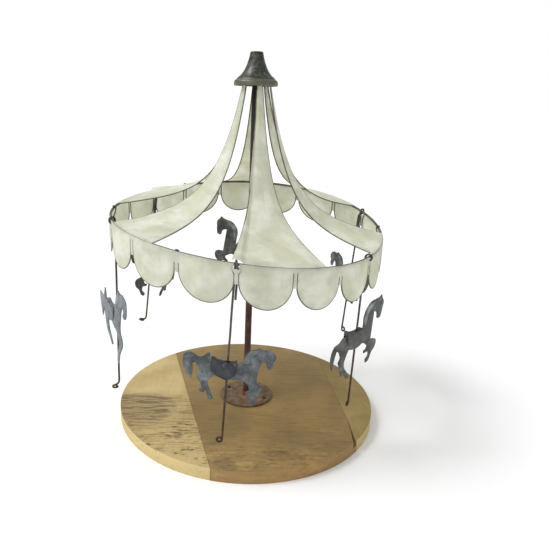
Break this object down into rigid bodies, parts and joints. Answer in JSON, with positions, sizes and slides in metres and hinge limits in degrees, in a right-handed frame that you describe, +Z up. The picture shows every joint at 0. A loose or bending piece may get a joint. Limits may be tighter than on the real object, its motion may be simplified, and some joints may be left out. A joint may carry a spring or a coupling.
{
  "type": "tabletop carousel ornament",
  "caption": "Tabletop carousel: round plank board and post, a cloth canopy that spins under a bell-shaped cap, and tin horses swinging on wire rods from a scalloped hoop.",
  "frame": {"origin": "centre of the board's underside, where it rests on a table", "axes": "+Z up along the post, the front horse faces +X, and the front is -Y"},
  "size_m": [0.3145, 0.3092, 0.403],
  "materials": {
    "pale_plank": "sawn pine, matt",
    "brown_plank": "sanded pine, matt",
    "rusted_plate": "brown rust, matt",
    "rusted_post": "dark rust, matt",
    "dark_steel": "dark, matt",
    "turned_brass": "dull turned brass",
    "pewter_cap": "pewter grey, satin",
    "frame_wire": "dark annealed wire",
    "stiffened_muslin": "cream, stiffened, translucent",
    "rod_wire": "dark wire with a little rust",
    "horse_tin": "aged grey tin sheet",
    "saddle_tin": "charcoal, matt"
  },
  "bodies": {
    "base": {"foot_plate": "rusted_plate", "plank_left": "pale_plank", "plank_middle": "brown_plank", "plank_right": "pale_plank", "plate_screw_left": "dark_steel", "plate_screw_right": "dark_steel", "post": "rusted_post", "thrust_collar": "turned_brass"},
    "canopy": {"cap": "pewter_cap", "gore_cloth_back": "stiffened_muslin", "gore_cloth_front": "stiffened_muslin", "gore_cloth_left_back": "stiffened_muslin", "gore_cloth_left_front": "stiffened_muslin", "gore_cloth_right_back": "stiffened_muslin", "gore_cloth_right_front": "stiffened_muslin", "gore_wire_back": "frame_wire", "gore_wire_front": "frame_wire", "gore_wire_left_back": "frame_wire", "gore_wire_left_front": "frame_wire", "gore_wire_right_back": "frame_wire", "gore_wire_right_front": "frame_wire", "hoop": "frame_wire", "hub": "turned_brass", "panel_wire_01": "frame_wire", "panel_wire_02": "frame_wire", "panel_wire_03": "frame_wire", "panel_wire_04": "frame_wire", "panel_wire_05": "frame_wire", "panel_wire_06": "frame_wire", "panel_wire_07": "frame_wire", "panel_wire_08": "frame_wire", "panel_wire_09": "frame_wire", "panel_wire_10": "frame_wire", "panel_wire_11": "frame_wire", "panel_wire_12": "frame_wire", "panel_wire_13": "frame_wire", "panel_wire_14": "frame_wire", "panel_wire_15": "frame_wire", "panel_wire_16": "frame_wire", "panel_wire_17": "frame_wire", "panel_wire_18": "frame_wire", "skirt_cloth": "stiffened_muslin"},
    "front_rod": {"rod_front": "rod_wire", "horse_front": "horse_tin", "saddle_front": "saddle_tin"},
    "right_front_rod": {"rod_right_front": "rod_wire", "horse_right_front": "horse_tin", "saddle_right_front": "saddle_tin"},
    "right_back_rod": {"rod_right_back": "rod_wire", "horse_right_back": "horse_tin", "saddle_right_back": "saddle_tin"},
    "back_rod": {"rod_back": "rod_wire", "horse_back": "horse_tin", "saddle_back": "saddle_tin"},
    "left_back_rod": {"rod_left_back": "rod_wire", "horse_left_back": "horse_tin", "saddle_left_back": "saddle_tin"},
    "left_front_rod": {"rod_left_front": "rod_wire", "horse_left_front": "horse_tin", "saddle_left_front": "saddle_tin"}
  },
  "joints": [
    {"name": "canopy_spin", "type": "hinge", "parent": "base", "child": "canopy", "pos_m": [0, 0, 0.3748], "axis": [0, 0, 1], "continuous": true},
    {"name": "front_rod_swing", "type": "hinge", "parent": "canopy", "child": "front_rod", "pos_m": [-0.01253, -0.15364, 0.22465], "axis": [0.9976, -0.0698, 0], "range_deg": [-4, 25]},
    {"name": "right_front_rod_swing", "type": "hinge", "parent": "canopy", "child": "right_front_rod", "pos_m": [0.11464, -0.08167, 0.21471], "axis": [0.5592, 0.829, 0], "range_deg": [-4, 25]},
    {"name": "right_back_rod_swing", "type": "hinge", "parent": "canopy", "child": "right_back_rod", "pos_m": [0.133, 0.06285, 0.23275], "axis": [-0.4384, 0.8988, 0], "range_deg": [-4, 25]},
    {"name": "back_rod_swing", "type": "hinge", "parent": "canopy", "child": "back_rod", "pos_m": [0.00853, 0.14764, 0.25237], "axis": [-0.9976, 0.0698, 0], "range_deg": [-4, 25]},
    {"name": "left_back_rod_swing", "type": "hinge", "parent": "canopy", "child": "left_back_rod", "pos_m": [-0.11864, 0.07567, 0.24848], "axis": [-0.5592, -0.829, 0], "range_deg": [-1.5, 25]},
    {"name": "left_front_rod_swing", "type": "hinge", "parent": "canopy", "child": "left_front_rod", "pos_m": [-0.137, -0.06885, 0.24124], "axis": [0.4384, -0.8988, 0], "range_deg": [-4, 25]}
  ]
}
